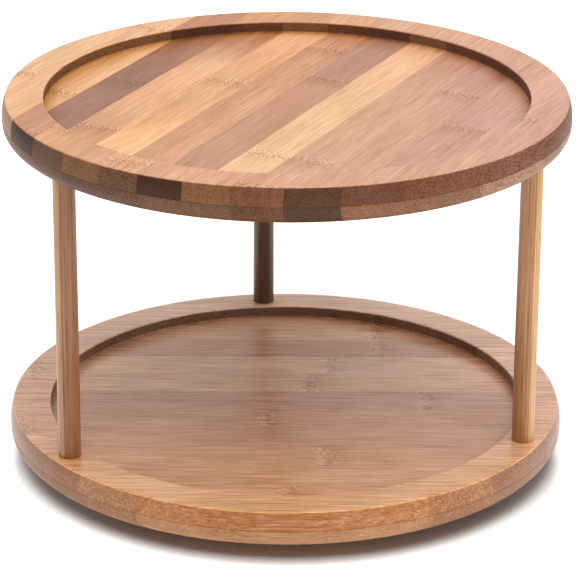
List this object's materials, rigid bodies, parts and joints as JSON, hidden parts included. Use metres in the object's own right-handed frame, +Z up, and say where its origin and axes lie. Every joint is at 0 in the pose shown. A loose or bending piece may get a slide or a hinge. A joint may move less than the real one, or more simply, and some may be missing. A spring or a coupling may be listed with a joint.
{
  "type": "two-tier lazy susan turntable",
  "caption": "Round two-tier turntable: two shallow recessed wooden trays joined by upright posts, spinning on a ball race over a footed base disc.",
  "frame": {"origin": "on the floor, on the axis that the trays turn about", "axes": "+Z up along the spin axis, -Y towards the front, +X to the right seen from the front"},
  "size_m": [0.254, 0.254, 0.176],
  "materials": {
    "bamboo_top_tray": "satin lacquer over edge-glued bamboo strips of mixed honey, tan and brown",
    "bamboo_bottom_tray": "satin lacquer over edge-glued bamboo strips of an even warm tan",
    "bamboo_posts": "satin lacquer over laminated bamboo, two tones side by side",
    "bamboo_base": "satin lacquer over bamboo",
    "rubber_feet": "matt",
    "steel_screws": "zinc plated",
    "steel_races": "pressed zinc-plated sheet, polished in the track",
    "steel_balls": "polished bearing steel",
    "steel_bolt": "zinc plated",
    "nylon_cage": "natural nylon",
    "nylon_bushing": "natural nylon",
    "brass_insert": "turned brass"
  },
  "bodies": {
    "base": {"base_disc": "bamboo_base", "foot_rear_right": "rubber_feet", "foot_rear_left": "rubber_feet", "foot_front_left": "rubber_feet", "foot_front_right": "rubber_feet", "foot_screws": "steel_screws", "lower_race": "steel_races", "pivot_bushing": "nylon_bushing"},
    "turntable": {"bottom_tray_upper_ply": "bamboo_bottom_tray", "bottom_tray_lower_ply": "bamboo_bottom_tray", "top_tray_upper_ply": "bamboo_top_tray", "top_tray_lower_ply": "bamboo_top_tray", "post_left": "bamboo_posts", "post_right": "bamboo_posts", "post_rear": "bamboo_posts", "post_screws": "steel_screws", "upper_race": "steel_races", "threaded_insert": "brass_insert", "pivot_bolt": "steel_bolt", "pivot_washer": "steel_bolt"},
    "bearing_cage": {"ball_cage": "nylon_cage"},
    "bearing_ball_01": {"ball_01": "steel_balls"},
    "bearing_ball_02": {"ball_02": "steel_balls"},
    "bearing_ball_03": {"ball_03": "steel_balls"},
    "bearing_ball_04": {"ball_04": "steel_balls"},
    "bearing_ball_05": {"ball_05": "steel_balls"},
    "bearing_ball_06": {"ball_06": "steel_balls"},
    "bearing_ball_07": {"ball_07": "steel_balls"},
    "bearing_ball_08": {"ball_08": "steel_balls"},
    "bearing_ball_09": {"ball_09": "steel_balls"},
    "bearing_ball_10": {"ball_10": "steel_balls"},
    "bearing_ball_11": {"ball_11": "steel_balls"},
    "bearing_ball_12": {"ball_12": "steel_balls"}
  },
  "joints": [
    {"name": "tray_spin", "type": "hinge", "parent": "base", "child": "turntable", "pos_m": [0, 0, 0.012], "axis": [0, 0, 1], "continuous": true},
    {"name": "cage_spin", "type": "hinge", "parent": "base", "child": "bearing_cage", "pos_m": [0, 0, 0.011], "axis": [0, 0, 1], "continuous": true},
    {"name": "ball_01_roll", "type": "hinge", "parent": "bearing_cage", "child": "bearing_ball_01", "pos_m": [0.055, 0, 0.011], "axis": [1, 0, 0], "continuous": true},
    {"name": "ball_02_roll", "type": "hinge", "parent": "bearing_cage", "child": "bearing_ball_02", "pos_m": [0.04763, 0.0275, 0.011], "axis": [0.866, 0.5, 0], "continuous": true},
    {"name": "ball_03_roll", "type": "hinge", "parent": "bearing_cage", "child": "bearing_ball_03", "pos_m": [0.0275, 0.04763, 0.011], "axis": [0.5, 0.866, 0], "continuous": true},
    {"name": "ball_04_roll", "type": "hinge", "parent": "bearing_cage", "child": "bearing_ball_04", "pos_m": [0, 0.055, 0.011], "axis": [0, 1, 0], "continuous": true},
    {"name": "ball_05_roll", "type": "hinge", "parent": "bearing_cage", "child": "bearing_ball_05", "pos_m": [-0.0275, 0.04763, 0.011], "axis": [-0.5, 0.866, 0], "continuous": true},
    {"name": "ball_06_roll", "type": "hinge", "parent": "bearing_cage", "child": "bearing_ball_06", "pos_m": [-0.04763, 0.0275, 0.011], "axis": [-0.866, 0.5, 0], "continuous": true},
    {"name": "ball_07_roll", "type": "hinge", "parent": "bearing_cage", "child": "bearing_ball_07", "pos_m": [-0.055, 0, 0.011], "axis": [-1, 0, 0], "continuous": true},
    {"name": "ball_08_roll", "type": "hinge", "parent": "bearing_cage", "child": "bearing_ball_08", "pos_m": [-0.04763, -0.0275, 0.011], "axis": [-0.866, -0.5, 0], "continuous": true},
    {"name": "ball_09_roll", "type": "hinge", "parent": "bearing_cage", "child": "bearing_ball_09", "pos_m": [-0.0275, -0.04763, 0.011], "axis": [-0.5, -0.866, 0], "continuous": true},
    {"name": "ball_10_roll", "type": "hinge", "parent": "bearing_cage", "child": "bearing_ball_10", "pos_m": [0, -0.055, 0.011], "axis": [0, -1, 0], "continuous": true},
    {"name": "ball_11_roll", "type": "hinge", "parent": "bearing_cage", "child": "bearing_ball_11", "pos_m": [0.0275, -0.04763, 0.011], "axis": [0.5, -0.866, 0], "continuous": true},
    {"name": "ball_12_roll", "type": "hinge", "parent": "bearing_cage", "child": "bearing_ball_12", "pos_m": [0.04763, -0.0275, 0.011], "axis": [0.866, -0.5, 0], "continuous": true}
  ],
  "couplings": [
    {"joint": "cage_spin", "follows": "tray_spin", "ratio": 0.5},
    {"joint": "ball_01_roll", "follows": "tray_spin", "ratio": -9.1667},
    {"joint": "ball_02_roll", "follows": "tray_spin", "ratio": -9.1667},
    {"joint": "ball_03_roll", "follows": "tray_spin", "ratio": -9.1667},
    {"joint": "ball_04_roll", "follows": "tray_spin", "ratio": -9.1667},
    {"joint": "ball_05_roll", "follows": "tray_spin", "ratio": -9.1667},
    {"joint": "ball_06_roll", "follows": "tray_spin", "ratio": -9.1667},
    {"joint": "ball_07_roll", "follows": "tray_spin", "ratio": -9.1667},
    {"joint": "ball_08_roll", "follows": "tray_spin", "ratio": -9.1667},
    {"joint": "ball_09_roll", "follows": "tray_spin", "ratio": -9.1667},
    {"joint": "ball_10_roll", "follows": "tray_spin", "ratio": -9.1667},
    {"joint": "ball_11_roll", "follows": "tray_spin", "ratio": -9.1667},
    {"joint": "ball_12_roll", "follows": "tray_spin", "ratio": -9.1667}
  ]
}
